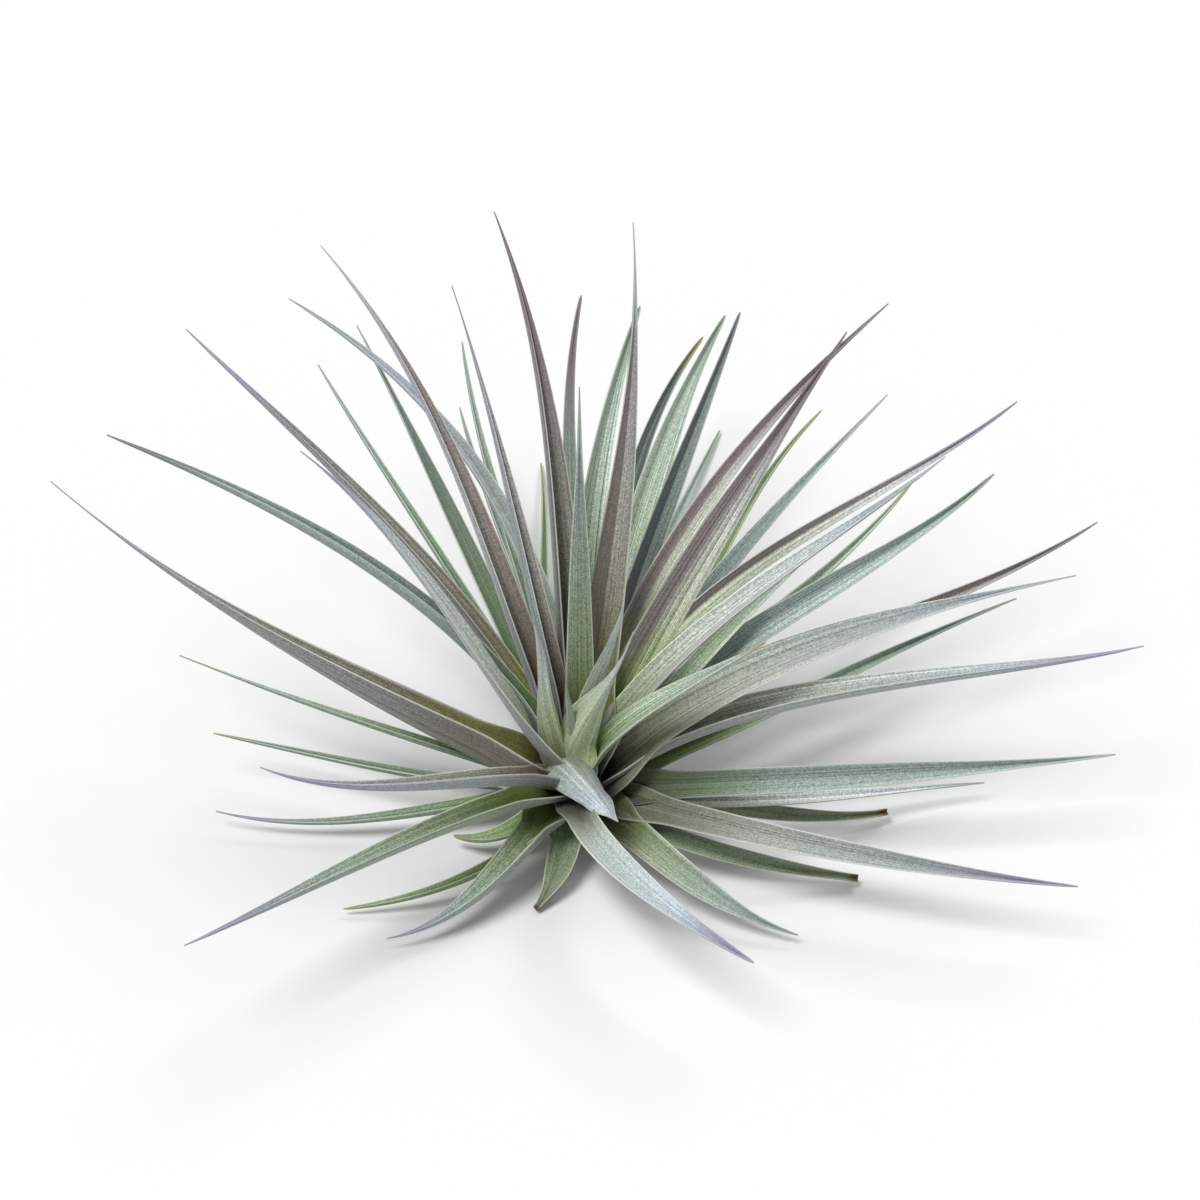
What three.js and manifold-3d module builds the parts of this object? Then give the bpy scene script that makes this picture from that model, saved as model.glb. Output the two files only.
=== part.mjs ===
// Air plant (tillandsia): a rosette of stiff, channelled, pointed leaves round a short stem.
// Millimetres, +Z up. The origin is on the flat underside of the stem, +X is to the right and +Y away.
import * as THREE from "three";
import Module from "manifold-3d";
import { mergeVertices } from "three/addons/utils/BufferGeometryUtils.js";

// the crown, where every leaf springs from one point inside the stem
const CROWN_HEIGHT = 9;
const SEAT_RADIUS = 12;
const SEAT_GAP = 0.3;
const SEAT_SEARCH = 0.8;
const SEAT_HALVINGS = 20;

// the leaf blade
const BLADE_THICKNESS = 1;
const TIP_THICKNESS = 0.7;
const TIP_WIDTH = 0.7;
const TAPER_POWER = 1.6;
const NECK_SHARE = 0.5;
const NECK_LENGTH = 0.14;
const FOLD_AT_SEAT = 0.25;
const FOLD_AT_TIP = 0.6;
const FOLD_POWER = 1.5;
const HANDLE_GAIN = 6.75;
const RING_POINTS = 8;
const BLADE_STEPS = 14;
const YOUNG_STEPS = 9;

// the stem, turned round the plant's axis
const STEM_FOOT_RADIUS = 7;
const STEM_TOP_HEIGHT = 20;
const STEM_SIDES = 28;
const STEM_STEPS = 9;
const SCAR_DEPTH = 0.25;
const HEART_CORE_RADIUS = 4;
const HEART_CORE_HEIGHT = 9;
const HEART_CORE_SHIFT = -1.6;

// One row for each leaf, clockwise from the left as seen from above:
// name, heading of the tip and its distance and height, then how far the blade bows up and to its left
// near the root and near the tip, its greatest width, how it is rolled to its right, and its finish.
const LEAVES = [
  ["leaf_01", 159, 119, 58, 6, 7, -3, 2, 7.5, 0, "bronze"],
  ["leaf_02", 160, 103, 78, 10, -2, 8, 0, 6, 0, "bronze"],
  ["leaf_03", 139, 111, 74, 5, -3, 2, -1, 6.5, 0, "bronze"],
  ["leaf_04", 157, 61, 84, 5, 6, 3, -2, 7.5, 0, "silver"],
  ["leaf_05", 121, 114, 42, 3, 0, 2, 1, 2.6, 0, "green"],
  ["leaf_06", 124, 98, 90, 5, 1, 2, -5, 7.5, 0, "bronze"],
  ["leaf_07", 124, 114, 64, 7, -7, 2, -10, 5, 0, "blue"],
  ["leaf_08", 117, 109, 54, 4, 1, 2, 0, 5, 0, "green"],
  ["leaf_09", 112, 71, 92, 8, 2, 1, -1, 5.5, 0, "bronze"],
  ["leaf_10", 104, 111, 40, 4, 0, 1, 2, 3, 0, "green"],
  ["leaf_11", 105, 107, 24, 2, -2, 1, 1, 3, 0, "green"],
  ["leaf_12", 102, 87, 96, 6, 0, 2, -4, 7, 0, "bronze"],
  ["leaf_13", 90, 112, 50, 2, -1, 2, 3, 4.5, 0, "blue"],
  ["leaf_14", 90, 41, 86, 4, 0, 2, 0, 6.5, 0, "green"],
  ["leaf_15", 95, 110, 1, 3, 4, 1, 0, 2.6, 0, "olive"],
  ["leaf_16", 82, 80, 98, 9, -1, 2, -3, 8, 0, "bronze"],
  ["leaf_17", 82, 93, 64, 7, 2, 2, 3, 6, 0, "green"],
  ["leaf_18", 77, 124, 30, 1, 1, 1, 6, 4.5, 0, "green"],
  ["leaf_19", 73, 110, 50, 4, 1, 2, 3, 6.5, 0, "pale"],
  ["leaf_20", 68, 92, 68, 4, 1, 2, 0, 6.5, 0, "blue"],
  ["leaf_21", 75, 125, 1, 0, 3, 0, 1, 3.2, 0, "green"],
  ["leaf_22", 43, 75, 92, 3, 1, 2, 0, 8.5, 0, "bronze"],
  ["leaf_23", 47, 95, 84, 5, 5, 2, 5, 6, 0, "bronze"],
  ["leaf_24", 59, 104, 36, 2, -3, 1, 3, 3.5, 0, "green"],
  ["leaf_25", 51, 107, 46, 2, 3, 2, 1, 5, 0, "blue"],
  ["leaf_26", 35, 114, 60, 7, 9, 2, 0, 6, 0, "bronze"],
  ["leaf_27", 25, 83, 72, 10, 0, 2, 0, 7, 0, "silver"],
  ["leaf_28", 36, 74, 48, 5, -3, 1, 2, 4.5, 0, "olive"],
  ["leaf_29", 44, 102, 32, 1, 1, 1, -3, 4.5, 0, "olive"],
  ["leaf_30", 33, 106, 46, 5, 3, 2, -3, 7, 0, "blue"],
  ["leaf_31", 23, 120, 42, 4, 3, 1, -3, 6, 0, "bronze"],
  ["leaf_32", 7, 102, 60, 11, -2, 2, 3, 8, 0, "silver"],
  ["leaf_33", 23, 102, 26, 3, -4, 1, 0, 4, 0, "green"],
  ["leaf_34", 3, 116, 46, 10, 0, 1, 0, 7.5, 0, "silver"],
  ["leaf_35", 357, 111, 26, 6, -6, 1, -2, 7, 0, "silver"],
  ["leaf_36", 3, 86, 6, 4, -7, 0, -1, 3.5, 0, "olive"],
  ["leaf_37", 359, 65, 3, 2, -1, 1, -4, 4.5, 0, "old"],
  ["leaf_38", 341, 107, 18, 4, -5, 1, -3, 7, 0, "silver"],
  ["leaf_39", 342, 61, 2, 2, -5, 1, -3, 4, 0, "old"],
  ["leaf_40", 322, 57, 3, 3, -2, 1, -4, 6, 0, "olive"],
  ["leaf_41", 300, 69, 24, 6, -7, 3, -5, 6.5, 0, "blue"],
  ["leaf_42", 251, 28, 1, 1, 0, 1, 2, 5, 0, "old"],
  ["leaf_43", 223, 54, 4, 4, 2, 0, 5, 5.5, 0, "olive"],
  ["leaf_44", 209, 56, 2, 2, 6, 0, 4, 4, 0, "green"],
  ["leaf_45", 218, 98, 30, 7, 2, 1, 0, 6.5, 0, "blue"],
  ["leaf_46", 198, 28, 4, 1, 1, 0, 4, 3.5, 0, "green"],
  ["leaf_47", 182, 77, 5, 1, 1, -2, 3, 4, 0, "green"],
  ["leaf_48", 212, 73, 58, 5, 2, -2, 3, 6, 0, "blue"],
  ["leaf_49", 171, 79, 13, 3, 5, -2, -1, 4, 0, "green"],
  ["leaf_50", 165, 88, 26, 4, 4, -1, 0, 4, 0, "green"],
];

// how much of its full length a leaf with a broken, dried end still has
const LENGTH_LEFT = { leaf_37: 0.75, leaf_39: 0.7, leaf_42: 0.6 };

// The youngest leaves, grown together at the heart; the columns are those of the other leaves.
const YOUNG_LEAVES = [
  ["young_01", 351, 11, 58, 2, 0, 0, -2, 7, -90, "pale"],
  ["young_02", 10, 9, 62, 1.5, 0, 0, 0, 4, -80, "pale"],
  ["young_03", 228, 4, 44, 0, 0, 0, 0, 3, 0, "pale"],
  ["young_04", 11, 7, 34, 0, 1, 0, 0, 3, 0, "pale"],
  ["young_05", 350, 38, 60, 5, -1, 2, -1, 5, 0, "pale"],
  ["young_06", 180, 7, 58, -1, 0, 0, 0, 4, 80, "pale"],
  ["young_07", 290, 23, 30, 5, -2, 0, 0, 7, 0, "pale"],
];

const COLOURS = {
  bronze: 0x6b5f57,
  silver: 0x9aa39c,
  green: 0x6f8a5c,
  olive: 0x6e6c45,
  blue: 0x8b9a9c,
  pale: 0xa9c08f,
  old: 0x5d6648,
  stem: 0x6f6144,
};
const LEAF_ROUGHNESS = 0.75;

const CROWN = new THREE.Vector3(0, 0, CROWN_HEIGHT);

// The course of a leaf: a curve from the crown to the tip with one bow near the root and one near the tip.
function courseOf([, heading, reach, height, rootUp, rootLeft, tipUp, tipLeft]) {
  const turn = THREE.MathUtils.degToRad(heading);
  const tip = new THREE.Vector3(reach * Math.cos(turn), reach * Math.sin(turn), height);
  const run = tip.sub(CROWN);
  const left = new THREE.Vector3(-Math.sin(turn), Math.cos(turn), 0);
  const up = run.clone().normalize().cross(left);
  const rootBow = up.clone().multiplyScalar(rootUp).addScaledVector(left, rootLeft);
  const tipBow = up.clone().multiplyScalar(tipUp).addScaledVector(left, tipLeft);
  return { run, left, rootBow, tipBow };
}

function pointOn({ run, rootBow, tipBow }, t) {
  return CROWN.clone()
    .addScaledVector(run, t)
    .addScaledVector(rootBow, HANDLE_GAIN * t * (1 - t) ** 2)
    .addScaledVector(tipBow, HANDLE_GAIN * t ** 2 * (1 - t));
}

function directionOn({ run, rootBow, tipBow }, t) {
  return run
    .clone()
    .addScaledVector(rootBow, HANDLE_GAIN * (1 - t) * (1 - 3 * t))
    .addScaledVector(tipBow, HANDLE_GAIN * t * (2 - 3 * t));
}

// The share of the course at which the blade comes out of the stem, found by halving.
function seatOf(course) {
  let inside = 0;
  let outside = SEAT_SEARCH;
  for (let i = 0; i < SEAT_HALVINGS; i++) {
    const middle = (inside + outside) / 2;
    if (pointOn(course, middle).distanceTo(CROWN) < SEAT_RADIUS) inside = middle;
    else outside = middle;
  }
  return outside;
}

// Half the breadth of a blade at the share v of its length: a narrow neck, then a long taper to the tip.
function halfWidthAt(width, lengthLeft, v) {
  const neck = NECK_SHARE + (1 - NECK_SHARE) * THREE.MathUtils.smoothstep(v, 0, NECK_LENGTH);
  const taper = 1 - (lengthLeft * v) ** TAPER_POWER;
  return (width * neck * taper + TIP_WIDTH * v) / 2;
}

// A closed cylinder bent along the course of the leaf and pressed into a channelled, lens-shaped section.
function bladeGeometry(leaf, steps) {
  const [name] = leaf;
  const [width, roll] = leaf.slice(8);
  const lengthLeft = LENGTH_LEFT[name] ?? 1;
  const course = courseOf(leaf);
  const start = seatOf(course);
  const geometry = new THREE.CylinderGeometry(1, 1, 1, RING_POINTS, steps);
  const position = geometry.getAttribute("position");
  const corner = new THREE.Vector3();
  for (let i = 0; i < position.count; i++) {
    corner.fromBufferAttribute(position, i);
    const v = corner.y + 0.5;
    const t = start + v * (1 - start);
    const along = directionOn(course, t).normalize();
    const out = along.clone().cross(course.left).normalize();
    const side = along.clone().cross(out);
    const tilt = THREE.MathUtils.degToRad(roll);
    side.applyAxisAngle(along, tilt);
    out.applyAxisAngle(along, tilt);
    const half = halfWidthAt(width, lengthLeft, v);
    const thickness = THREE.MathUtils.lerp(BLADE_THICKNESS, TIP_THICKNESS, v);
    const fold = THREE.MathUtils.lerp(FOLD_AT_SEAT, FOLD_AT_TIP, v) * half;
    const lift = fold * Math.abs(corner.x) ** FOLD_POWER + (corner.z * thickness) / 2;
    const placed = pointOn(course, t).addScaledVector(side, corner.x * half).addScaledVector(out, lift);
    position.setXYZ(i, placed.x, placed.y, placed.z);
  }
  geometry.deleteAttribute("normal");
  geometry.deleteAttribute("uv");
  return mergeVertices(geometry);
}

// The stem is a round body flattened below and on top, with a low ridge for each ring of old leaf scars.
function stemGeometry() {
  const reach = SEAT_RADIUS - SEAT_GAP;
  const profile = [new THREE.Vector2(0, 0), new THREE.Vector2(STEM_FOOT_RADIUS, 0)];
  for (let i = 1; i <= STEM_STEPS; i++) {
    const height = (STEM_TOP_HEIGHT * i) / STEM_STEPS;
    const radius = Math.sqrt(reach ** 2 - (height - CROWN_HEIGHT) ** 2);
    profile.push(new THREE.Vector2(radius - SCAR_DEPTH * (i % 2), height));
  }
  profile.push(new THREE.Vector2(0, STEM_TOP_HEIGHT));
  const geometry = new THREE.LatheGeometry(profile, STEM_SIDES).rotateX(Math.PI / 2);
  geometry.deleteAttribute("normal");
  geometry.deleteAttribute("uv");
  return mergeVertices(geometry);
}

function coreGeometry() {
  const geometry = new THREE.ConeGeometry(HEART_CORE_RADIUS, HEART_CORE_HEIGHT, RING_POINTS)
    .rotateX(Math.PI / 2)
    .translate(0, HEART_CORE_SHIFT, STEM_TOP_HEIGHT + SEAT_GAP + HEART_CORE_HEIGHT / 2);
  geometry.deleteAttribute("normal");
  geometry.deleteAttribute("uv");
  return mergeVertices(geometry);
}

// Joins closed meshes into one solid.
async function joined(geometries) {
  const { Manifold, Mesh, setup } = await Module().then((wasm) => {
    wasm.setup();
    return wasm;
  });
  const solids = geometries.map((geometry) => {
    const vertProperties = new Float32Array(geometry.getAttribute("position").array);
    const triVerts = new Uint32Array(geometry.index.array);
    return new Manifold(new Mesh({ numProp: 3, vertProperties, triVerts }));
  });
  const mesh = Manifold.union(solids).getMesh();
  const geometry = new THREE.BufferGeometry();
  geometry.setAttribute("position", new THREE.BufferAttribute(mesh.vertProperties, mesh.numProp));
  geometry.setIndex(new THREE.BufferAttribute(mesh.triVerts, 1));
  return geometry;
}

function named(name, geometry, colour) {
  geometry.computeVertexNormals();
  const material = new THREE.MeshStandardMaterial({
    color: COLOURS[colour],
    roughness: LEAF_ROUGHNESS,
    metalness: 0,
  });
  const mesh = new THREE.Mesh(geometry, material);
  mesh.name = name;
  return mesh;
}

const plant = new THREE.Group();
plant.name = "air_plant";
plant.add(named("stem", stemGeometry(), "stem"));
const heart = [coreGeometry(), ...YOUNG_LEAVES.map((leaf) => bladeGeometry(leaf, YOUNG_STEPS))];
plant.add(named("heart", await joined(heart), "pale"));
for (const leaf of LEAVES) {
  plant.add(named(leaf[0], bladeGeometry(leaf, BLADE_STEPS), leaf.at(-1)));
}

export default plant;
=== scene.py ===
import math
from collections import namedtuple
from functools import cache

import bpy
import numpy as np
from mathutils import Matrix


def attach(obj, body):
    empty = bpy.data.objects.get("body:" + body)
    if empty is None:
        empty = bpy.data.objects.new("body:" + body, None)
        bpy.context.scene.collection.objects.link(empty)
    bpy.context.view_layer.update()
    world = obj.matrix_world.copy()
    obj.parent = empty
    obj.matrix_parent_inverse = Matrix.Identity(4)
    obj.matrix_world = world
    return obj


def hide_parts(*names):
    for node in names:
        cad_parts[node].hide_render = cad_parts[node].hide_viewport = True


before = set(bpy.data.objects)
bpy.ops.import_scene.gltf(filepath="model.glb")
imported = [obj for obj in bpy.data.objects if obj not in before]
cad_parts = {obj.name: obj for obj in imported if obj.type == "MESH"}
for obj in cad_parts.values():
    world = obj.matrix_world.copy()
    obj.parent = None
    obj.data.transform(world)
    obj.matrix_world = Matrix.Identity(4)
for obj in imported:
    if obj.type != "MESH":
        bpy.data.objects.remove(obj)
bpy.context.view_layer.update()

MM = 0.001
UP = np.array([0.0, 0.0, 1.0])
SEED = 7

# the crown, where every leaf springs from one point inside the stem; a leaf is drawn from the root radius
# on, and its blade is free of the stem from the seat radius on
CROWN = np.array([0.0, 0.0, 9.0])
ROOT_RADIUS = 4.5
SEAT_RADIUS = 12

# how finely, and over what share of a leaf, these radii are looked for
SEARCH_STEPS = 2000
SEARCH_SHARE = 0.8

# this gain makes the top of a bow as high in millimetres as its number says
BOW_GAIN = 6.75

# the blade: the width of its very tip, its thickness at both ends, and its wide and open sheath
TIP_WIDTH = 0.35
ROOT_THICKNESS = 1.1
TIP_THICKNESS = 0.4
SHEATH_SPREAD = 0.25
SHEATH_OPENING = 0.35
SHEATH_REACH = 0.13

# its fold and twist in degrees: the fold nears the tip's own from half the length on, and the curl turns
# the margins in
TIP_FOLD = 62
TIP_FOLD_RISE = (0.5, 1)
FOLD_ROUNDING = 0.3
MARGIN_CURL = 14
CURL_POWER = 8
TWIST = 5

# its relief: a crease on the midrib between faint ribs, shallower where half the blade is under a
# millimetre wide, a rounded edge, and a margin whose gentle wave turns by this many radians on its way
CREASE_DEPTH = 0.08
CREASE_WIDTH = 0.08
RIB_DEPTH = 0.05
RIBS_ACROSS = 2
FULL_RELIEF_FROM = 1
EDGE_POWER = 4
MARGIN_WAVE = 0.025
MARGIN_WAVE_TURN = 9

# steps across each face and rings along the blade
FACE_STEPS = 24
BLADE_STATIONS = 104

# Each leaf: the heading of its tip in degrees and the tip's distance and height, how far the blade bows up
# and to its left near the root and near the tip, the greatest width of the flattened blade and how soon it
# narrows, how steeply its halves fold up and how far it rolls to the right in degrees, which half is
# darker (-1 left, 1 right), with more flush and less silver, partly its own flush and partly painted
# shade, how light it is, partly its own tone and partly painted light and shade for how it is lit, how
# much painted shade darkens its base, its skin and its tip. The list goes clockwise round the plant from
# its left.
FIELDS = (
    "heading reach height root_up root_left tip_up tip_left "
    "width fall fold roll shade light deep skin tip"
)
Leaf = namedtuple("Leaf", FIELDS)
LEAVES = [
    (159, 119, 58, 6, 7, -3, 2, 16, 2.8, 66, 24, 0, 0.95, 0, "bronze", "lavender"),
    (160, 103, 78, 10, -2, 8, 0, 7.6, 1, 60, 20, 0.4, 0.9, 0, "slate", "slate"),
    (139, 111, 74, 5, -3, 2, -1, 7, 1.2, 55, 23, 0, 0.9, 0, "bronze", "lavender"),
    (157, 61, 84, 5, 6, 3, -2, 9, 1.6, 25, 35, 0, 1.05, 0, "silver", "lavender"),
    (121, 114, 42, 3, 0, 2, 1, 4, 1, 60, 10, 0, 1.1, 0, "green", "sage"),
    (124, 98, 90, 5, 1, 2, -5, 9.2, 1.6, 50, 27, 0.6, 0.95, 0.5, "rosy", "silver"),
    (124, 114, 64, 7, -7, 2, -10, 7.5, 1.1, 50, 15, 0.3, 1.15, 0, "blue", "sage"),
    (117, 109, 54, 4, 1, 2, 0, 5.2, 1.2, 35, -5, 0, 0.7, 0, "green", "sage"),
    (112, 71, 92, 8, 2, 1, -1, 8.5, 2.2, 55, 40, 0, 0.88, 0.6, "rosy", "lavender"),
    (104, 111, 40, 4, 0, 1, 2, 4.2, 0.8, 50, 20, 0, 1.12, 0, "green", "sage"),
    (105, 107, 24, 2, -2, 1, 1, 4.2, 0.8, 50, 20, 0, 1.1, 0, "green", "sage"),
    (102, 87, 96, 6, 0, 2, -4, 11.3, 1.4, 52, 40, 0, 0.8, 0.6, "bronze", "mauve"),
    (90, 112, 50, 2, -1, 2, 3, 4.2, 0.5, 30, 0, 0, 0.85, 0, "green", "mauve"),
    (90, 41, 86, 4, 0, 2, 0, 6.8, 1.5, 25, 5, 0.4, 0.95, 0.35, "moss", "sage"),
    (95, 110, 1, 3, 4, 1, 0, 3.4, 0.8, 50, 0, 0, 0.85, 0, "fresh", "straw"),
    (82, 80, 98, 9, -1, 2, -3, 11, 2, 35, 14, -0.6, 0.88, 0.3, "bronze", "silver"),
    (82, 93, 64, 7, 2, 2, 3, 8.6, 0.6, 40, 28, -0.8, 1.1, 0, "pale", "sage"),
    (77, 124, 30, 1, 1, 1, 6, 5.6, 0.5, 40, 11, 0, 0.42, 0, "green", "straw"),
    (73, 110, 50, 4, 1, 2, 3, 8.5, 0.6, 28, 13, -0.4, 1.1, 0.7, "pale", "sage"),
    (68, 92, 68, 4, 1, 2, 0, 7, 0.7, 40, 20, -1, 0.62, 0, "slate", "slate"),
    (75, 125, 1, 0, 3, 0, 1, 4, 0.6, 45, 10, 0, 1.45, 0, "green", "sage"),
    (43, 75, 92, 3, 1, 2, 0, 10, 1.15, 30, 32, -0.8, 1, 0, "dusky", "mauve"),
    (47, 95, 84, 5, 5, 2, 5, 8, 1.2, 45, 15, -1, 1.3, 0, "dusky", "mauve"),
    (59, 104, 36, 2, -3, 1, 3, 4.6, 0.8, 50, 10, 0, 1.3, 0, "fresh", "straw"),
    (51, 107, 46, 2, 3, 2, 1, 4.8, 1, 30, 25, 0, 1.3, 0, "slate", "silver"),
    (35, 114, 60, 7, 9, 2, 0, 5.2, 0.9, 35, 50, -1, 1.5, 0.2, "dusky", "lavender"),
    (25, 83, 72, 10, 0, 2, 0, 7.7, 1.3, 40, 5, 0.8, 1.4, 0, "silver", "silver"),
    (36, 74, 48, 5, -3, 1, 2, 5.5, 1, 45, 20, 0, 1.5, 0, "pale", "sage"),
    (44, 102, 32, 1, 1, 1, -3, 5.5, 1, 45, 20, -0.4, 1.1, 0, "pale", "straw"),
    (33, 106, 46, 5, 3, 2, -3, 7.4, 0.7, 35, 37, -0.3, 1.3, 0, "slate", "sage"),
    (23, 120, 42, 4, 3, 1, -3, 7, 1.1, 45, 20, -0.5, 1, 0.2, "bronze", "slate"),
    (7, 102, 60, 11, -2, 2, 3, 13, 1.7, 40, 33, 0.7, 1.15, 0.4, "silver", "silver"),
    (23, 102, 26, 3, -4, 1, 0, 4.6, 1, 45, 20, -0.3, 1.2, 0.6, "green", "sage"),
    (3, 116, 46, 10, 0, 1, 0, 10.5, 1.3, 50, -5, 0, 1.35, 0, "silver", "lavender"),
    (357, 111, 26, 6, -6, 1, -2, 6.8, 0.9, 30, 40, -0.4, 1.1, 0.8, "slate", "silver"),
    (3, 86, 6, 4, -7, 0, -1, 4.2, 1, 40, 20, 0, 1.6, 0.2, "silver", "sage"),
    (359, 65, 3, 2, -1, 1, -4, 3.6, 0.5, 25, 35, 0, 1.25, 0, "old", "brown"),
    (341, 107, 18, 4, -5, 1, -3, 7, 0.9, 35, 25, 0, 0.9, 0.5, "silver", "lavender"),
    (342, 61, 2, 2, -5, 1, -3, 4, 0.6, 25, 35, 0, 1.6, 0.5, "old", "brown"),
    (322, 57, 3, 3, -2, 1, -4, 7.6, 1.1, 28, 37, 0, 1.2, 0.9, "moss", "sage"),
    (300, 69, 24, 6, -7, 3, -5, 8.2, 0.7, 40, 20, 0.6, 1.5, 0.9, "blue", "lavender"),
    (251, 28, 1, 1, 0, 1, 2, 8, 1.6, 35, 0, 0, 1.6, 0.1, "old", "brown"),
    (223, 54, 4, 4, 2, 0, 5, 11, 1.6, 51, 16, 0, 1.35, 0.55, "moss", "lavender"),
    (209, 56, 2, 2, 6, 0, 4, 4.2, 0.8, 55, 15, 0, 1.4, 0, "fresh", "straw"),
    (218, 98, 30, 7, 2, 1, 0, 8.8, 1.3, 52, 8, 0, 1.25, 0, "moss", "lavender"),
    (198, 28, 4, 1, 1, 0, 4, 5.9, 0.7, 45, 0, 0, 1.35, 0.4, "fresh", "straw"),
    (182, 77, 5, 1, 1, -2, 3, 4.4, 1.4, 52, 7, 0, 1.15, 0, "green", "lavender"),
    (212, 73, 58, 5, 2, -2, 3, 8, 1.5, 62, 7, 0, 1.15, 0.35, "rosy", "lavender"),
    (171, 79, 13, 3, 5, -2, -1, 3.3, 1, 52, 8, 0, 0.8, 0, "green", "straw"),
    (165, 88, 26, 4, 4, -1, 0, 3.4, 1.6, 52, 10, 0, 1.2, 0, "green", "straw"),
]

# how much of its full length a leaf with a broken, dried end still has, by its place in the list above
LENGTH_LEFT = {37: 0.75, 39: 0.7, 42: 0.75}

# the young leaves of the heart, in the same columns
YOUNG_LEAVES = [
    (351, 11, 58, 4.5, 0, 0, -2, 11, 3, 35, -90, 0.6, 1.2, 0, "heart", "silver"),
    (10, 9, 62, 3, 0, 0, 0, 5.5, 1.2, 30, -80, 0.4, 0.75, 0.3, "heart", "silver"),
    (228, 4, 44, 0, 0, 0, 0, 3.2, 1.2, 40, 0, 0, 0.6, 0.2, "heart", "green"),
    (11, 7, 34, 0, 1, 0, 0, 4, 1, 30, -90, 0, 0.7, 0.2, "heart", "silver"),
    (350, 38, 60, 5, -1, 2, -1, 7, 1.4, 35, 20, 0, 1.2, 0.3, "pale", "straw"),
    (180, 9, 58, -3, 1, 0, 0, 6, 1.1, 30, 80, 0, 1.1, 0.3, "heart", "silver"),
    (290, 23, 23, 8, -4, 0, 0, 11.5, 1.5, -42, 14, -0.8, 1.05, 0, "blue", "silver"),
]

# the stem, seen only from behind and below: its foot, belly and rounded top, and its rings of leaf scars,
# which stand out most at their lower edges and fade out at the foot
STEM_FOOT_RADIUS = 7
STEM_BELLY_RADIUS = 8.5
STEM_TOP_HEIGHT = 15
STEM_NARROWING = 0.8
STEM_TOP_RISE = (0.55, 1)
SCAR_RINGS = 7
SCARS_ROUND = 8
SCAR_DEPTH = 0.5
SCAR_SHALLOWEST = 0.5
SCAR_RISE = (0, 0.08)
STEM_ROWS = 60
STEM_COLUMNS = 96

# skins: the colours of the inner base, the blade, its flush, its outer side and its far part as sRGB, then
# how strongly the flush, the silver scales and the lengthwise streaks show
SKINS = {
    "bronze": ("84853c", "868a76", "6c5850", "727470", "8f8d9a", 0.7, 0.35, 0.45),
    "dusky": ("8cac3c", "a2aa8e", "75666a", "9ba39e", "a39ea8", 0.65, 0.5, 0.85),
    "rosy": ("8a6c4c", "90968a", "7a6c66", "97a3a6", "a8a3c0", 0.8, 0.45, 0.35),
    "silver": ("86906a", "a0aa9c", "868084", "a2acaa", "a6b0bd", 0.4, 0.6, 0.5),
    "slate": ("6c8848", "7f9489", "57616a", "8a9f98", "94a8a4", 0.5, 0.45, 0.5),
    "blue": ("8a9470", "9ba8a2", "6c6e66", "aab8c4", "b6c5d8", 0.5, 0.45, 0.3),
    "moss": ("6a8420", "7f9066", "64705a", "93a38e", "94a5ac", 0.45, 0.4, 0.55),
    "green": ("6a8a20", "6c8a5a", "525f48", "7b9878", "8fa3a0", 0.35, 0.3, 0.6),
    "fresh": ("7c9a14", "708a38", "586c34", "72904c", "8a9c78", 0.35, 0.15, 0.5),
    "pale": ("8cb044", "9cb58c", "74836c", "a4b89a", "a8bcb4", 0.45, 0.55, 1.0),
    "old": ("4a6424", "566848", "465038", "62725a", "747f66", 0.3, 0.15, 0.4),
    "heart": ("b2c460", "b6c88c", "9aa684", "b8c898", "bcc8c6", 0.3, 0.4, 0.5),
}

# the colour of each kind of tip, and the share of a leaf at which it sets in
TIPS = {
    "lavender": ("a09bb4", 0.7),
    "silver": ("b4bcbe", 0.75),
    "mauve": ("80707a", 0.55),
    "slate": ("737b7f", 0.75),
    "sage": ("9aa898", 0.8),
    "straw": ("a39c74", 0.86),
    "green": ("7f9a6c", 0.8),
    "brown": ("6a4a2c", 0.955),
}
# the silver of the scales, also used for the painted highlight along the midline's crease
SILVER_AND_HIGHLIGHT = "dde2dd"
# the pale margins: partly the silver of the scales and partly a painted highlight where the edge catches
# light
MARGIN_SILVER_AND_HIGHLIGHT = "dfe3d6"
# painted shade: the near-black of each root inside the stem and of the bases shaded in the heart
ROOT_SHADE = "1e1c1a"

# where each colour of a leaf sets in and where it is full, as shares of the length from the root
# ROOT_RISE: where the leaf's colour covers the painted shade at the root
ROOT_RISE = (0.02, 0.1)
# DEEP_RISE: where the painted shade at the base has faded out
DEEP_RISE = (0.06, 0.4)
BLADE_RISE = (0.14, 0.42)
FLUSH_RISE = (0.08, 0.3)
OUTER_RISE = (-0.15, 0.4)
FAR_RISE = (0.35, 0.8)

# the same across, from -1 at the left margin to 1 at the right, or from the midline out
# DARK_HALF_RISE: where one half turns darker, partly its own flush and partly painted shade
DARK_HALF_RISE = (-0.3, 0.3)
# the painted highlight along the crease of the midline
MIDLINE_HIGHLIGHT_RISE = (0.0, 0.06)
MARGIN_RISE = (0.93, 0.99)

# the tip's colour is full at this share of the way from where it sets in to the end of the leaf
TIP_FULL = 0.8

# how far each of them covers what lies under it; the margin is palest where a fine streak meets it
FAR_COVER = 0.75
OUTER_COVER = 0.85
MIDLINE_HIGHLIGHT_COVER = 0.2
MARGIN_COVER = 0.25
MARGIN_STREAK_COVER = 0.6
TIP_COVER = 0.85

# streaks: how often they change over half the width of a leaf and over its length, where a line streak
# counts as light or dark, and how far into the noise a leaf's own place may be shifted
BROAD_STREAKS = (3.5, 0.4)
LINE_STREAKS = (14, 0.7)
FINE_STREAKS = (34, 1)
STREAK_DETAIL = 1
LIGHT_LINE = (0.55, 0.64)
DARK_LINE = (0.35, 0.45)
LEAF_SHIFT = 31

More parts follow.
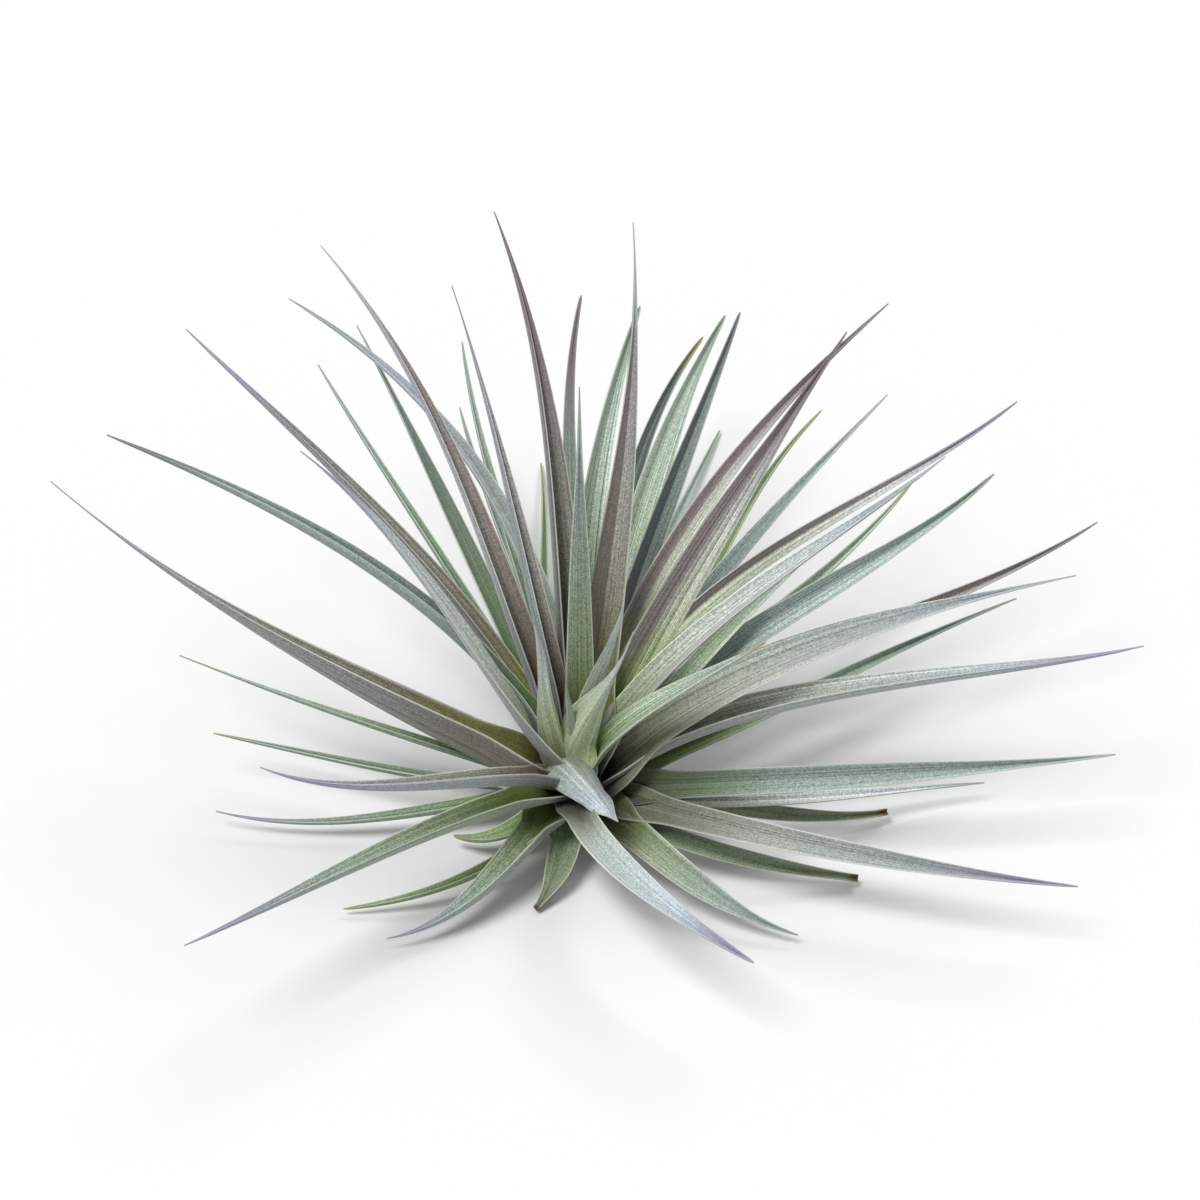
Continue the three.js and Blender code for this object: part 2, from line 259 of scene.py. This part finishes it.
# clouds that shift the colours along the leaf, and silver scales: their size in metres, where the dot of a
# scale ends in its cell and which cells have one
CLOUD_SIZE = 0.012
CLOUD_DETAIL = 3
CLOUD_SHIFT = 0.2
SCALE_SIZE = 0.0003
SCALE_EDGE = (0.3, 0.8)
SCALE_LUCK = (0.1, 0.7)

# the flush: how strongly it gathers in broad streaks and on the darker half, and what is taken off it
FLUSH_STREAKS = 1.2
FLUSH_DARK_HALF = 1.4
FLUSH_LOSS = -0.6

# the silver film: all over, on light lines and on scales; then its share on the darker half and what the
# lighter half has more, and its share at the base and what the blade has more
FILM_EVEN = 0.12
FILM_LINES = 0.3
FILM_SCALES = 0.45
FILM_DARK_HALF = 0.35
FILM_LIGHT_HALF = 1.3
FILM_BASE = 0.35
FILM_BLADE = 0.65

# how strongly streaks and scales lighten and darken a leaf, and the painted shade of the outer side
LIGHT_LINES = 0.4
DARK_LINES = 0.45
FINE_RIPPLE = 1.6
BROAD_RIPPLE = 1.2
GRAIN = 0.36
OUTER_PAINTED_SHADE = 0.85

# the finish of a leaf: its roughness between the scales and what a scale adds, the heights of lines and
# scales, how strong and how deep in metres their relief is, and the sheen
LEAF_ROUGHNESS = 0.42
SCALE_ROUGHNESS = 0.2
LINE_HEIGHT = 1.6
SCALE_HEIGHT = 0.5
LEAF_BUMP = 0.6
LEAF_RELIEF = 0.00012
SHEEN = 0.25
SHEEN_ROUGHNESS = 0.45

# the finish of the stem: bark, greener patches and dark upright fibres; the stretch and the scale are how
# often they change in a metre
BARK = "6f6144"
GREEN_BARK = "7f8a52"
DARK_FIBRE = "4a3b28"
FIBRE_STRETCH = (1200, 1200, 150)
FIBRE_DETAIL = 4
FIBRE_RISE = (0.4, 0.75)
PATCH_SCALE = 260
PATCH_DETAIL = 3
PATCH_RISE = (0.35, 0.7)
STEM_BUMP = 0.7
STEM_RELIEF = 0.0003
STEM_ROUGHNESS = 0.85

# the studio: a pale floor, a soft light from behind on the right, a stronger one from high on the left and
# a pale surround; the floor is in metres, turns are clockwise from straight behind, and all angles degrees
FLOOR_HALF = 2.0
FLOOR_WHITE = 0.81
FLOOR_ROUGHNESS = 0.9
FLOOR_GLOSS = 0.1
BACK_TURN = 35
BACK_RISE = 50
BACK_POWER = 1.15
BACK_SPREAD = 28
TOP_TURN = -118
TOP_RISE = 67
TOP_POWER = 2.1
TOP_SPREAD = 22
SURROUND = 0.33

# the camera looks down from the front by this many degrees; the rest is in millimetres
LOOK_AT = np.array([4.2, 26.7, 38.7])
LOOK_DOWN = 45
CAMERA_DISTANCE = 800
CAMERA_LENS = 114
CAMERA_SENSOR = 36

# the kinds of a node group's sockets, and the places of a colour mix's sockets among those of its node
COLOUR = "NodeSocketColor"
VALUE = "NodeSocketFloat"
MIX_SHARE = 0
MIX_UNDER = 6
MIX_OVER = 7
MIX_RESULT = 2


def smooth(x, low, high):
    """0 below low, 1 above high, and 3 s^2 - 2 s^3 between."""
    s = np.clip((x - low) / (high - low), 0, 1)
    return s * s * (3 - 2 * s)


def unit(vectors):
    """The same directions, each one long."""
    return vectors / np.linalg.norm(vectors, axis=-1, keepdims=True)


def summed(heights, x):
    """The area under each row of heights from the middle of x to each place on x, by the trapezoid rule."""
    steps = (heights[:, 1:] + heights[:, :-1]) / 2 * np.diff(x)
    total = np.concatenate([np.zeros((len(steps), 1)), np.cumsum(steps, 1)], 1)
    return total - total[:, len(x) // 2, None]


def course(leaf, share):
    """The middle line of a leaf and its direction at each share t of the way from crown to tip.

    crown + run t + gain t (1-t)^2 root bow + gain t^2 (1-t) tip bow, with both bows square to the run."""
    turn = math.radians(leaf.heading)
    run = np.array([leaf.reach * math.cos(turn), leaf.reach * math.sin(turn), leaf.height]) - CROWN
    left = np.array([-math.sin(turn), math.cos(turn), 0.0])
    up = np.cross(run / np.linalg.norm(run), left)
    root_bow = BOW_GAIN * (leaf.root_up * up + leaf.root_left * left)
    tip_bow = BOW_GAIN * (leaf.tip_up * up + leaf.tip_left * left)
    t = np.asarray(share)[:, None]
    points = CROWN + run * t + root_bow * t * (1 - t) ** 2 + tip_bow * t**2 * (1 - t)
    slopes = run + root_bow * (1 - t) * (1 - 3 * t) + tip_bow * t * (2 - 3 * t)
    return points, slopes


def share_at(leaf, radius):
    """The share of the course at which a leaf is this far from the crown."""
    shares = np.linspace(0, SEARCH_SHARE, SEARCH_STEPS)
    points, _ = course(leaf, shares)
    distance = np.linalg.norm(points - CROWN, axis=1)
    return shares[np.argmax(distance >= radius)]


def cross_section(leaf, v, half, thickness):
    """How far the points of both faces lie to the side and upwards at each share v of the free blade.

    Across the blade x goes from -1 at the left margin to 1 at the right. The blade slopes up from its
    midrib by sign(x) (fold (1 + rounding) |x|^rounding + curl x^8), whose mean is nearly the fold, and
    adding up the cosines and sines of that slope gives the place of each point, halfway up the fold on the
    course. Both faces stand off it squarely by half the thickness times the root of 1 - x^4, so that they
    meet at a rounded margin. The relief on both is rib depth cos(2 pi ribs x) (1 - x^2), less crease depth
    exp(-(x / crease width)^2)."""
    x = -np.cos(np.linspace(0, math.pi, FACE_STEPS + 1))
    fold = leaf.fold * (1 - SHEATH_OPENING * (1 - smooth(v, 0, SHEATH_REACH)))
    fold = fold + (TIP_FOLD - leaf.fold) * smooth(v, *TIP_FOLD_RISE)
    rise = (1 + FOLD_ROUNDING) * np.abs(x) ** FOLD_ROUNDING
    slope = np.radians(np.sign(x) * (fold[:, None] * rise + MARGIN_CURL * x**CURL_POWER))
    across = half[:, None] * summed(np.cos(slope), x)
    lift = half[:, None] * summed(np.sin(slope), x)
    lift = lift - lift[:, -1:] / 2
    ribs = RIB_DEPTH * np.cos(math.tau * RIBS_ACROSS * x) * (1 - x**2)
    crease = CREASE_DEPTH * np.exp(-((x / CREASE_WIDTH) ** 2))
    relief = (ribs - crease) * np.minimum(half / FULL_RELIEF_FROM, 1)[:, None]
    standing = np.sqrt(1 - x**EDGE_POWER) * thickness[:, None] / 2
    for depth in (relief + standing, relief - standing):
        yield across - depth * np.sin(slope), lift + depth * np.cos(slope)


def blade_rings(leaf, length_left, draw):
    """A closed ring of points round the blade at each station from the root to the tip.

    The width is (1 - (part v)^2)^fall of the greatest, where part is the length that is left, times the
    spread of the sheath and a slow sine wave. The upper face turns up, then by the leaf's own roll and by a
    twist that grows along the leaf."""
    root = share_at(leaf, ROOT_RADIUS)
    seat = share_at(leaf, SEAT_RADIUS)
    share = np.linspace(root, 1, BLADE_STATIONS)
    points, slopes = course(leaf, share)
    v = np.clip((share - seat) / (1 - seat), 0, 1)
    along = unit(slopes)
    out = unit(UP - (along @ UP)[:, None] * along)
    side = np.cross(along, out)
    turn = np.radians(leaf.roll + TWIST * draw.normal() * v)[:, None]
    turned_side = side * np.cos(turn) - out * np.sin(turn)
    turned_out = out * np.cos(turn) + side * np.sin(turn)

    sheath = 1 + SHEATH_SPREAD * (1 - smooth(v, 0, SHEATH_REACH))
    wave = 1 + MARGIN_WAVE * np.sin(MARGIN_WAVE_TURN * v + draw.uniform(0, math.tau))
    taper = (1 - (length_left * v) ** 2) ** leaf.fall
    half = (leaf.width * sheath * wave * taper + TIP_WIDTH) / 2
    thickness = np.minimum(ROOT_THICKNESS + (TIP_THICKNESS - ROOT_THICKNESS) * v, half)

    upper, outer = (
        sideways[..., None] * turned_side[:, None, :] + upwards[..., None] * turned_out[:, None, :]
        for sideways, upwards in cross_section(leaf, v, half, thickness)
    )
    return points[:, None, :] + np.concatenate([upper[:, :-1], outer[:, :0:-1]], 1)


def stem_rings():
    """The stem as rings from the foot up: a belly with rows of old leaf scars, each a shallow shingle.

    The radius is that of the foot plus sin(pi share) times what the belly has more, and closes at the top
    by the root of 1 - narrowing times the rise. A scar's height over the stem falls from its lower edge to
    none at the next scar up, and the scars wind down one ring for each one round."""
    share = np.linspace(0, 1, STEM_ROWS)
    height = STEM_TOP_HEIGHT * share
    belly = STEM_FOOT_RADIUS + (STEM_BELLY_RADIUS - STEM_FOOT_RADIUS) * np.sin(math.pi * share)
    radius = belly * np.sqrt(1 - STEM_NARROWING * smooth(share, *STEM_TOP_RISE))
    turn = np.linspace(0, math.tau, STEM_COLUMNS, endpoint=False)
    ring = (share[:, None] * SCAR_RINGS + SCARS_ROUND * turn[None, :] / math.tau) % 1
    swing = (1 + np.cos(SCARS_ROUND * turn[None, :])) / 2
    depth = SCAR_DEPTH * (SCAR_SHALLOWEST + (1 - SCAR_SHALLOWEST) * swing)
    scars = (1 - ring) * depth * smooth(share, *SCAR_RISE)[:, None]
    r = radius[:, None] + scars - SCAR_DEPTH
    return np.stack([r * np.cos(turn), r * np.sin(turn), np.broadcast_to(height[:, None], r.shape)], -1)


def tube_mesh(name, rings):
    """Quads between neighbouring rings of points, and a fan of triangles to a middle point at each end."""
    stations, around = rings.shape[:2]
    ends = np.stack([rings[0].mean(0), rings[-1].mean(0)])
    corners = np.concatenate([rings.reshape(-1, 3), ends]) * MM
    j = np.arange(around)
    after = (j + 1) % around
    row = np.arange(stations - 1)[:, None] * around
    quads = np.stack([row + j, row + after, row + around + after, row + around + j], -1).reshape(-1, 4)
    last = (stations - 1) * around
    first_end = np.full(around, stations * around)
    fans = [np.stack([first_end, after, j], -1), np.stack([first_end + 1, last + j, last + after], -1)]
    mesh = bpy.data.meshes.new(name)
    mesh.from_pydata(corners.tolist(), [], quads.tolist() + np.concatenate(fans).tolist())
    mesh.polygons.foreach_set("use_smooth", np.ones(len(mesh.polygons), bool))
    return mesh


def mark_blade(mesh, stations, around, marks):
    """A UV map named leaf, across and along the blade, with the underside and marks as point attributes.

    The middle point of each end counts as a point of the midline."""
    angle = np.linspace(0, math.tau, around, endpoint=False)
    u = np.append(np.tile((1 - np.cos(angle)) / 2, stations), [0.5, 0.5])
    v = np.append(np.repeat(np.linspace(0, 1, stations), around), [0, 1])
    corner = np.empty(len(mesh.loops), int)
    mesh.loops.foreach_get("vertex_index", corner)
    layer = mesh.uv_layers.new(name="leaf")
    layer.data.foreach_set("uv", np.stack([u[corner], v[corner]], -1).ravel())
    under = np.append(np.tile((angle > math.pi).astype(float), stations), [0, 0])
    mesh.attributes.new("under", "FLOAT", "POINT").data.foreach_set("value", under)
    for mark, value in marks.items():
        mesh.attributes.new(mark, "FLOAT", "POINT").data.foreach_set("value", np.full(len(u), value))


def linear(code):
    """A colour written as six sRGB digits, as the linear values that a shader takes, by the sRGB curve."""
    channels = np.array([int(code[i : i + 2], 16) for i in (0, 2, 4)]) / 255
    values = np.where(channels <= 0.04045, channels / 12.92, ((channels + 0.055) / 1.055) ** 2.4)
    return (*values.tolist(), 1.0)


class Tree:
    """Adds nodes to a node tree, and links or sets their inputs."""

    def __init__(self, tree):
        self.tree = tree

    def feed(self, node, inputs):
        """Links each named input to another node's output, or sets a plain value on it."""
        for name, value in inputs.items():
            if isinstance(value, bpy.types.NodeSocket):
                self.tree.links.new(value, node.inputs[name])
            else:
                node.inputs[name].default_value = value

    def add(self, kind, inputs=None, **settings):
        node = self.tree.nodes.new(kind)
        for name, value in settings.items():
            setattr(node, name, value)
        self.feed(node, inputs or {})
        return node

    def math(self, operation, *values):
        return self.add("ShaderNodeMath", dict(enumerate(values)), operation=operation).outputs[0]

    def times(self, value, other):
        return self.math("MULTIPLY", value, other)

    def scaled(self, value, gain, offset):
        """The value times the gain, plus the offset."""
        return self.math("MULTIPLY_ADD", value, gain, offset)

    def inverse(self, value):
        """1 where the value is 0, and 0 where it is 1."""
        return self.math("SUBTRACT", 1, value)

    def centred(self, value):
        """The value less a half, the average of a noise."""
        return self.math("SUBTRACT", value, 0.5)

    def clamped(self, value):
        """The value, held between 0 and 1."""
        return self.math("MINIMUM", self.math("MAXIMUM", value, 0), 1)

    def rise(self, value, low, high):
        """0 at low and 1 at high, eased at both ends."""
        span = {"Value": value, "From Min": low, "From Max": high}
        node = self.add("ShaderNodeMapRange", span, interpolation_type="SMOOTHSTEP", clamp=True)
        return node.outputs["Result"]

    def blend(self, share, under, over, kind="MIX"):
        inputs = {MIX_SHARE: share, MIX_UNDER: under, MIX_OVER: over}
        return self.add("ShaderNodeMix", inputs, data_type="RGBA", blend_type=kind).outputs[MIX_RESULT]

    def noise(self, vector, detail, scale=1):
        inputs = {"Vector": vector, "Detail": detail, "Scale": scale}
        return self.add("ShaderNodeTexNoise", inputs).outputs["Fac"]

    def vector(self, x, y, z):
        return self.add("ShaderNodeCombineXYZ", {"X": x, "Y": y, "Z": z}).outputs["Vector"]


class LeafSkin(Tree):
    """Paints a scaly leaf from the UV map of its blade, its marks and its place."""

    def __init__(self, tree):
        super().__init__(tree)
        self.given = self.add("NodeGroupInput").outputs
        uv = self.add("ShaderNodeUVMap", uv_map="leaf").outputs["UV"]
        parts = self.add("ShaderNodeSeparateXYZ", {"Vector": uv}).outputs
        self.across = self.scaled(parts["X"], 2, -1)
        self.along = parts["Y"]
        self.under = self.mark("under")
        self.shift = self.times(self.mark("seed"), LEAF_SHIFT)

        self.broad = self.streaks(*BROAD_STREAKS)
        self.lines = self.streaks(*LINE_STREAKS)
        self.fine = self.streaks(*FINE_STREAKS)
        self.light_lines = self.rise(self.lines, *LIGHT_LINE)
        # the darker half, with more flush and less silver: partly its own flush and partly painted shade
        side = self.centred(self.rise(self.across, *DARK_HALF_RISE))
        self.dark_half = self.scaled(side, self.mark("shade"), 0.5)

        place = self.add("ShaderNodeTexCoord").outputs["Object"]
        clouds = self.noise(place, CLOUD_DETAIL, 1 / CLOUD_SIZE)
        nearer = self.math("SUBTRACT", self.along, CLOUD_SHIFT / 2)
        self.cloudy_along = self.scaled(clouds, CLOUD_SHIFT, nearer)
        cells = self.add("ShaderNodeTexVoronoi", {"Vector": place, "Scale": 1 / SCALE_SIZE}).outputs
        self.luck = self.add("ShaderNodeSeparateColor", {"Color": cells["Color"]}).outputs["Red"]
        dot = self.inverse(self.rise(cells["Distance"], *SCALE_EDGE))
        self.scales = self.times(dot, self.rise(self.luck, *SCALE_LUCK))

    def mark(self, name):
        """What is written on the blade under this name."""
        return self.add("ShaderNodeAttribute", attribute_name=name).outputs["Fac"]

    def streaks(self, across, along):
        """Noise that changes this often across and along the leaf, about a half on average."""
        spot = self.vector(self.times(self.across, across), self.times(self.along, along), self.shift)
        return self.noise(spot, STREAK_DETAIL)

    def flushed(self):
        """The inner side goes from its green base to the blade and the far part, under an uneven flush.
        The outer side goes from a flushed base to its own colour and the same far part."""
        given = self.given
        far = self.times(self.rise(self.along, *FAR_RISE), FAR_COVER)
        inner = self.blend(self.rise(self.cloudy_along, *BLADE_RISE), given["Sheath"], given["Blade"])
        inner = self.blend(far, inner, given["Far"])
        flush = self.times(self.rise(self.cloudy_along, *FLUSH_RISE), given["Flush Amount"])
        uneven = self.scaled(self.dark_half, FLUSH_DARK_HALF, FLUSH_LOSS)
        uneven = self.scaled(self.broad, FLUSH_STREAKS, uneven)
        inner = self.blend(self.clamped(self.times(flush, uneven)), inner, given["Flush"])
        outer = self.blend(self.rise(self.along, *OUTER_RISE), given["Flush"], given["Under"])
        outer = self.blend(far, outer, given["Far"])
        return self.blend(self.times(self.under, OUTER_COVER), inner, outer)

    def silvered(self, body):
        """A film of silver scales, thickest on scales and light lines, the lighter half and the blade."""
        film = self.scaled(self.scales, FILM_SCALES, self.scaled(self.light_lines, FILM_LINES, FILM_EVEN))
        film = self.times(film, self.given["Silver Amount"])
        light_half = self.inverse(self.dark_half)
        film = self.times(film, self.scaled(light_half, FILM_LIGHT_HALF, FILM_DARK_HALF))
        beyond_base = self.rise(self.along, *BLADE_RISE)
        film = self.times(film, self.scaled(beyond_base, FILM_BLADE, FILM_BASE))
        return self.blend(self.clamped(film), body, linear(SILVER_AND_HIGHLIGHT))

    def rippled(self, body):
        """The streaks and the grain of the scales lighten and darken the leaf round its lightness, which is
        partly its own tone and partly painted light and shade; the outer side also gets painted shade.
        """
        dark_lines = self.inverse(self.rise(self.lines, *DARK_LINE))
        lightened = self.times(self.light_lines, LIGHT_LINES)
        ripple = self.math("SUBTRACT", lightened, self.times(dark_lines, DARK_LINES))
        ripple = self.scaled(self.centred(self.fine), FINE_RIPPLE, ripple)
        ripple = self.scaled(self.centred(self.broad), BROAD_RIPPLE, ripple)
        grain = self.scaled(self.centred(self.luck), GRAIN, 1)
        ripple = self.scaled(ripple, self.given["Streak Amount"], grain)
        # painted light and shade: each leaf's lightness partly stands in for how it is lit
        light = self.mark("light")
        # painted shade: the outer side keeps at most its own lightness and is darkened further
        outer_light = self.times(self.math("MINIMUM", light, 1), OUTER_PAINTED_SHADE)
        sides = {"Factor": self.under, "A": light, "B": outer_light}
        brightness = self.times(ripple, self.add("ShaderNodeMix", sides).outputs["Result"])
        return self.blend(1, body, self.vector(brightness, brightness, brightness), "MULTIPLY")

    def finished(self, body):
        """A painted highlight on the midline and pale margins that are partly a painted highlight, the
        colour of the tip, and painted shade at the base and the root.
        """
        edge = self.math("ABSOLUTE", self.across)
        # painted highlight along the midline's crease
        midline = self.inverse(self.rise(edge, *MIDLINE_HIGHLIGHT_RISE))
        body = self.blend(self.times(midline, MIDLINE_HIGHLIGHT_COVER), body, linear(SILVER_AND_HIGHLIGHT))
        # pale margins, partly silver scales and partly a painted highlight where the curled edge catches
        # light
        paleness = self.scaled(self.fine, MARGIN_STREAK_COVER, MARGIN_COVER)
        body = self.blend(self.times(self.rise(edge, *MARGIN_RISE), paleness), body, linear(MARGIN_SILVER_AND_HIGHLIGHT))
        tip_start = self.given["Tip Start"]
        tip = self.rise(self.along, tip_start, self.scaled(tip_start, 1 - TIP_FULL, TIP_FULL))
        body = self.blend(self.times(tip, TIP_COVER), body, self.given["Tip"])
        # painted shade at the base, as strong as the leaf's deep mark, and at the root
        base = self.inverse(self.rise(self.along, *DEEP_RISE))
        body = self.blend(self.times(base, self.mark("deep")), body, linear(ROOT_SHADE))
        return self.blend(self.rise(self.along, *ROOT_RISE), linear(ROOT_SHADE), body)


def new_group(name, inputs, outputs):
    """An empty node group whose sockets have these labels and kinds."""
    group = bpy.data.node_groups.new(name, "ShaderNodeTree")
    for direction, sockets in (("INPUT", inputs), ("OUTPUT", outputs)):
        for label, kind in sockets.items():
            group.interface.new_socket(label, in_out=direction, socket_type=kind)
    return group


@cache
def leaf_skin():
    """The node group that gives the colour, roughness and height of a scaly leaf."""
    inputs = dict.fromkeys(("Sheath", "Blade", "Flush", "Under", "Far", "Tip"), COLOUR)
    inputs |= dict.fromkeys(("Flush Amount", "Silver Amount", "Streak Amount", "Tip Start"), VALUE)
    outputs = {"Colour": COLOUR, "Roughness": VALUE, "Height": VALUE}
    t = LeafSkin(new_group("leaf skin", inputs, outputs))
    colour = t.finished(t.rippled(t.silvered(t.flushed())))
    height = t.math("ADD", t.times(t.lines, LINE_HEIGHT), t.times(t.scales, SCALE_HEIGHT))
    roughness = t.scaled(t.scales, SCALE_ROUGHNESS, LEAF_ROUGHNESS)
    t.add("NodeGroupOutput", {"Colour": colour, "Roughness": roughness, "Height": height})
    return t.tree


def new_material(name):
    """A new material, with its shader."""
    material = bpy.data.materials.new(name)
    material.use_nodes = True
    return material, material.node_tree.nodes["Principled BSDF"]


@cache
def leaf_material(skin, tip):
    """A matte living leaf with a bloom of scales; its end dries or flushes in the colour of its tip."""
    material, shader = new_material(f"{skin} leaf with {tip} tip")
    sheath, blade, flush, under, far, flush_amount, silver_amount, streak_amount = SKINS[skin]
    tip_colour, tip_start = TIPS[tip]
    values = {
        "Sheath": linear(sheath),
        "Blade": linear(blade),
        "Flush": linear(flush),
        "Under": linear(under),
        "Far": linear(far),
        "Tip": linear(tip_colour),
        "Flush Amount": flush_amount,
        "Silver Amount": silver_amount,
        "Streak Amount": streak_amount,
        "Tip Start": tip_start,
    }
    t = Tree(material.node_tree)
    painted = t.add("ShaderNodeGroup", values, node_tree=leaf_skin()).outputs
    relief = {"Strength": LEAF_BUMP, "Distance": LEAF_RELIEF, "Height": painted["Height"]}
    finish = {
        "Base Color": painted["Colour"],
        "Roughness": painted["Roughness"],
        "Normal": t.add("ShaderNodeBump", relief).outputs["Normal"],
        "Sheen Weight": SHEEN,
        "Sheen Roughness": SHEEN_ROUGHNESS,
    }
    t.feed(shader, finish)
    return material


def stem_material():
    """Dry, fibrous brown green bark of old leaf bases."""
    material, shader = new_material("scarred stem")
    t = Tree(material.node_tree)
    place = t.add("ShaderNodeTexCoord").outputs["Object"]
    stretched = t.add("ShaderNodeMapping", {"Vector": place, "Scale": FIBRE_STRETCH}).outputs["Vector"]
    fibres = t.noise(stretched, FIBRE_DETAIL)
    patches = t.noise(place, PATCH_DETAIL, PATCH_SCALE)
    colour = t.blend(t.rise(patches, *PATCH_RISE), linear(BARK), linear(GREEN_BARK))
    colour = t.blend(t.rise(fibres, *FIBRE_RISE), colour, linear(DARK_FIBRE))
    relief = {"Strength": STEM_BUMP, "Distance": STEM_RELIEF, "Height": fibres}
    bump = t.add("ShaderNodeBump", relief).outputs["Normal"]
    t.feed(shader, {"Base Color": colour, "Normal": bump, "Roughness": STEM_ROUGHNESS})
    return material


def floor_material():
    """Smooth, matt and nearly white."""
    material, shader = new_material("white floor")
    shader.inputs["Base Color"].default_value = (FLOOR_WHITE, FLOOR_WHITE, FLOOR_WHITE, 1)
    shader.inputs["Roughness"].default_value = FLOOR_ROUGHNESS
    shader.inputs["Specular IOR Level"].default_value = FLOOR_GLOSS
    return material


def new_object(mesh, material):
    """Puts a finished mesh into the scene."""
    mesh.materials.append(material)
    placed = bpy.data.objects.new(mesh.name, mesh)
    bpy.context.scene.collection.objects.link(placed)
    return placed


def add_piece(mesh, material, node):
    """A piece of the plant, which stands for this node of the frame."""
    piece = new_object(mesh, material)
    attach(piece, "root")
    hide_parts(node)


def grow_blade(name, leaf, length_left, draw, node):
    """One dressed leaf, from its root inside the stem to its tip."""
    rings = blade_rings(leaf, length_left, draw)
    stations, around = rings.shape[:2]
    mesh = tube_mesh(name, rings)
    marks = {"seed": draw.uniform(-1, 1), "shade": leaf.shade, "light": leaf.light, "deep": leaf.deep}
    mark_blade(mesh, stations, around, marks)
    add_piece(mesh, leaf_material(leaf.skin, leaf.tip), node)


def grow_plant():
    """Every leaf, the heart and the stem, each standing for its solid."""
    draw = np.random.default_rng(SEED)
    for number, row in enumerate(LEAVES, 1):
        node = f"leaf_{number:02d}"
        length_left = LENGTH_LEFT.get(number, 1)
        grow_blade(f"blade_{number:02d}", Leaf(*row), length_left, draw, node)
    for number, row in enumerate(YOUNG_LEAVES, 1):
        grow_blade(f"young_blade_{number:02d}", Leaf(*row), 1, draw, "heart")
    add_piece(tube_mesh("scarred_stem", stem_rings()), stem_material(), "stem")


def lay_floor():
    """One wide flat square at the height that the plant stands on."""
    corners = [(-1, -1), (1, -1), (1, 1), (-1, 1)]
    mesh = bpy.data.meshes.new("floor")
    mesh.from_pydata([(x * FLOOR_HALF, y * FLOOR_HALF, 0) for x, y in corners], [], [(0, 1, 2, 3)])
    new_object(mesh, floor_material())


def hang_sun(name, turn, rise, power, spread):
    """A distant soft light that comes from this turn and rise, tilted from shining straight down."""
    lamp = bpy.data.lights.new(name, "SUN")
    lamp.energy = power
    lamp.angle = math.radians(spread)
    sun = bpy.data.objects.new(name, lamp)
    sun.rotation_euler = (math.radians(rise - 90), 0, math.radians(-turn))
    bpy.context.scene.collection.objects.link(sun)


def light_studio():
    """Two distant lights and an even white surround."""
    hang_sun("back light", BACK_TURN, BACK_RISE, BACK_POWER, BACK_SPREAD)
    hang_sun("high light", TOP_TURN, TOP_RISE, TOP_POWER, TOP_SPREAD)
    world = bpy.data.worlds.new("pale surround")
    world.use_nodes = True
    background = world.node_tree.nodes["Background"]
    background.inputs["Color"].default_value = (1, 1, 1, 1)
    background.inputs["Strength"].default_value = SURROUND
    scene = bpy.context.scene
    scene.world = world
    scene.view_settings.view_transform = "Standard"


def set_camera():
    """A camera in front of the plant that looks down on it."""
    down = math.radians(LOOK_DOWN)
    away = np.array([0, math.cos(down), -math.sin(down)])
    lens = bpy.data.cameras.new("camera")
    lens.lens = CAMERA_LENS
    lens.sensor_width = CAMERA_SENSOR
    camera = bpy.data.objects.new("camera", lens)
    camera.location = (LOOK_AT - CAMERA_DISTANCE * away) * MM
    camera.rotation_euler = (math.pi / 2 - down, 0, 0)
    bpy.context.scene.collection.objects.link(camera)
    bpy.context.scene.camera = camera


set_camera()
grow_plant()
lay_floor()
light_studio()
